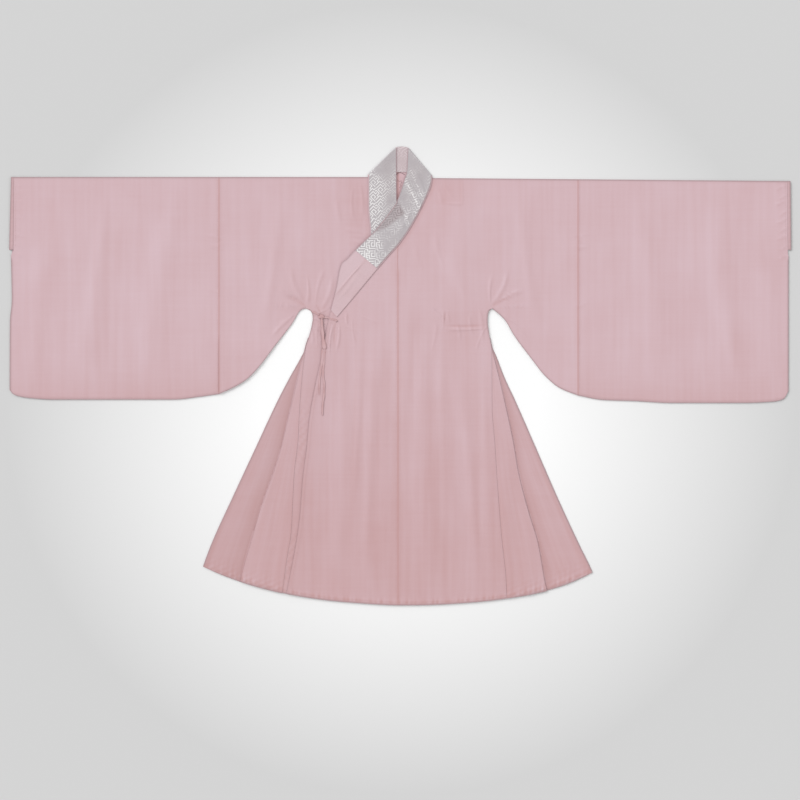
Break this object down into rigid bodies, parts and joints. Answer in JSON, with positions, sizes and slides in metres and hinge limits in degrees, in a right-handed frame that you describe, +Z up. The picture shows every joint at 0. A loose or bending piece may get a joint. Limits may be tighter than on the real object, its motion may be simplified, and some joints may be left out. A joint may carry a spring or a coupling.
{
  "type": "hanfu robe",
  "caption": "Wide-sleeved robe laid flat, with a crossed collar band, a brocade guard collar, an overlapping front tied at the side, and pleated side gores.",
  "frame": {"origin": "centre of the bounding box, on the surface that the robe lies on", "axes": "+X from the wearer's right cuff to the left cuff, +Y from hem to collar, +Z up out of the cloth"},
  "size_m": [2.1099, 1.24, 0.0096],
  "materials": {
    "sheer_cloth": "fine semi-sheer weave, soft sheen",
    "band_cloth": "the same weave, double",
    "brocade": "silver-white fretwork brocade",
    "tie_cloth": "folded narrow tie"
  },
  "bodies": {
    "root": {"body_right": "sheer_cloth", "body_left": "sheer_cloth", "lapel_outer": "sheer_cloth", "lapel_inner": "sheer_cloth", "sleeve_right": "sheer_cloth", "sleeve_left": "sheer_cloth", "cuff_right": "sheer_cloth", "cuff_left": "sheer_cloth", "gore_right": "sheer_cloth", "gore_left": "sheer_cloth", "collar": "band_cloth", "guard_collar": "brocade", "tie_side": "tie_cloth", "tie_lapel": "tie_cloth", "tie_knot": "tie_cloth", "tie_loop": "tie_cloth", "tie_tail_long": "tie_cloth", "tie_tail_short": "tie_cloth"}
  },
  "joints": []
}
